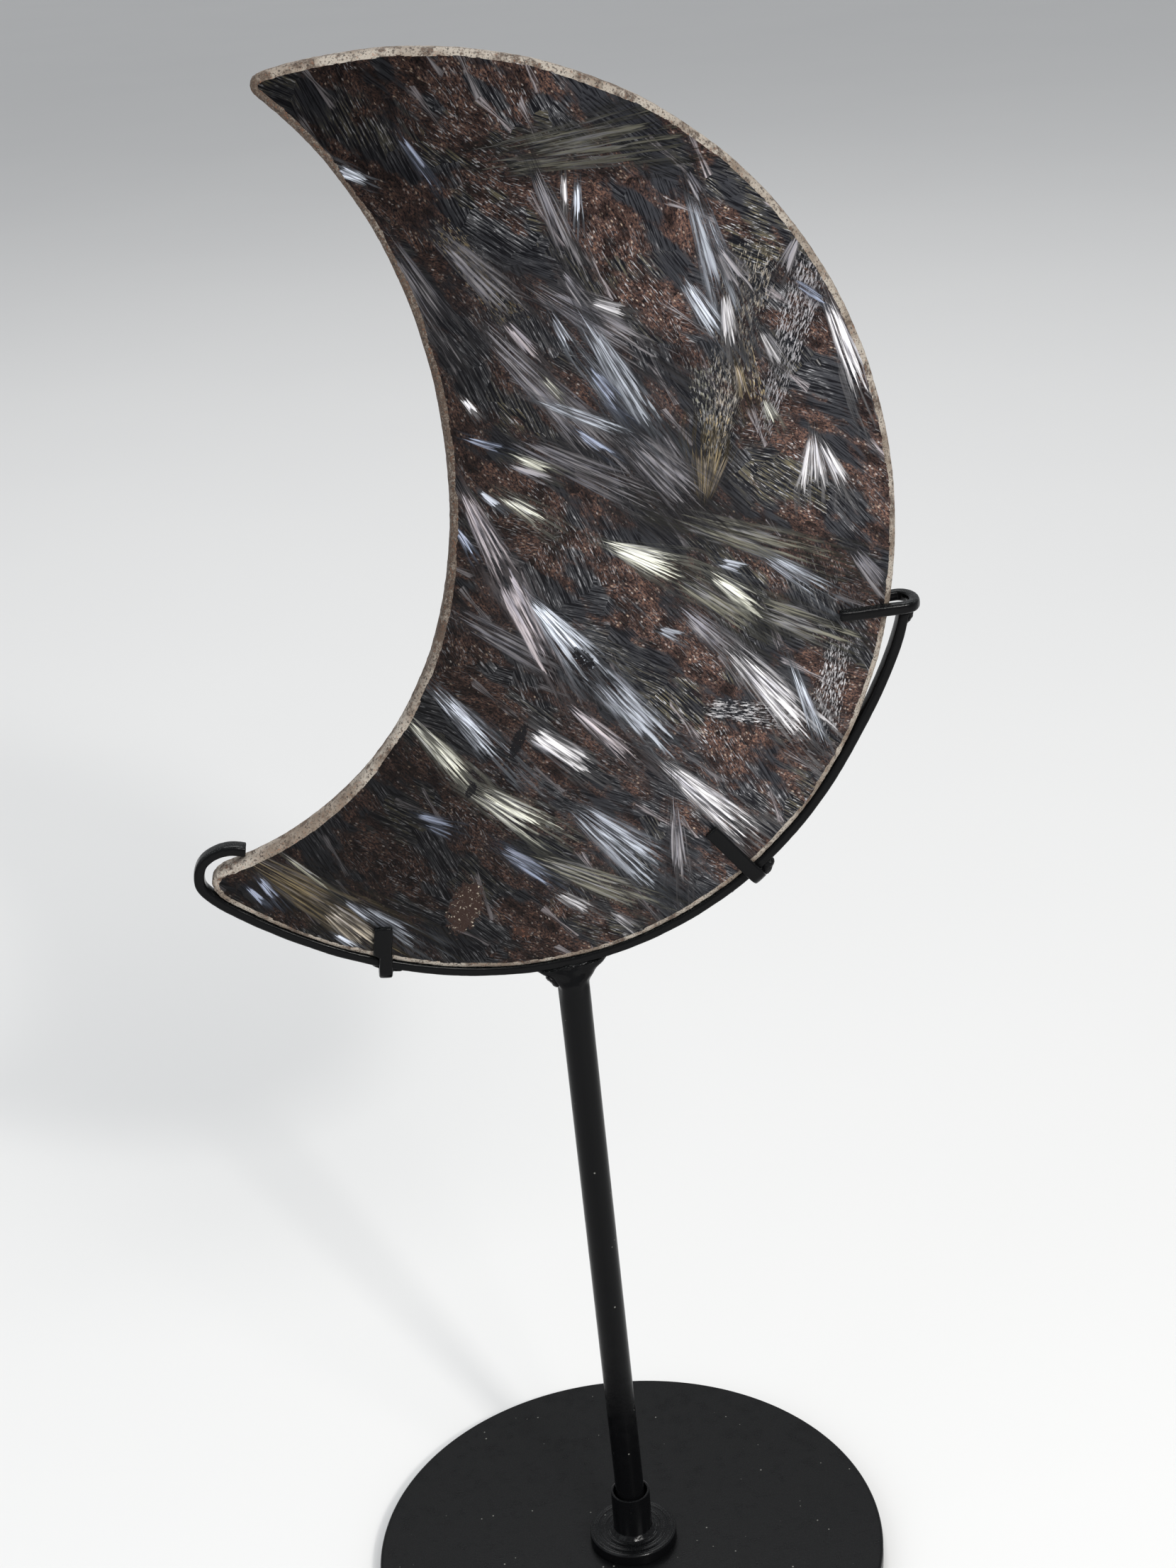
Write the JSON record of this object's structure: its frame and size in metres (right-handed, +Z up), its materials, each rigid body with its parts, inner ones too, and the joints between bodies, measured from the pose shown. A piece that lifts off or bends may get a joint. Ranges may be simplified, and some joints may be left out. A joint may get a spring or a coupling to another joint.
{
  "type": "astrophyllite moon carving",
  "caption": "Polished dark stone crescent with silvery blade-like crystals, held by a black metal cradle on a rod and a round base plate.",
  "frame": {"origin": "centre of the base plate's underside", "axes": "+Z up, the stone's polished faces look along -Y and +Y, and its horns open towards -X"},
  "size_m": [0.1781, 0.14, 0.4067],
  "materials": {
    "polished_stone": "polished faces, rough sawn edge",
    "black_paint": "satin",
    "black_powder_coat": "satin, fine grain"
  },
  "bodies": {
    "root": {"base_plate": "black_powder_coat", "flanged_socket": "black_paint", "stem_rod": "black_paint", "cradle_arc": "black_paint", "left_prongs": "black_paint", "right_prongs": "black_paint", "end_clasp": "black_paint", "moon_slab": "polished_stone"}
  },
  "joints": []
}
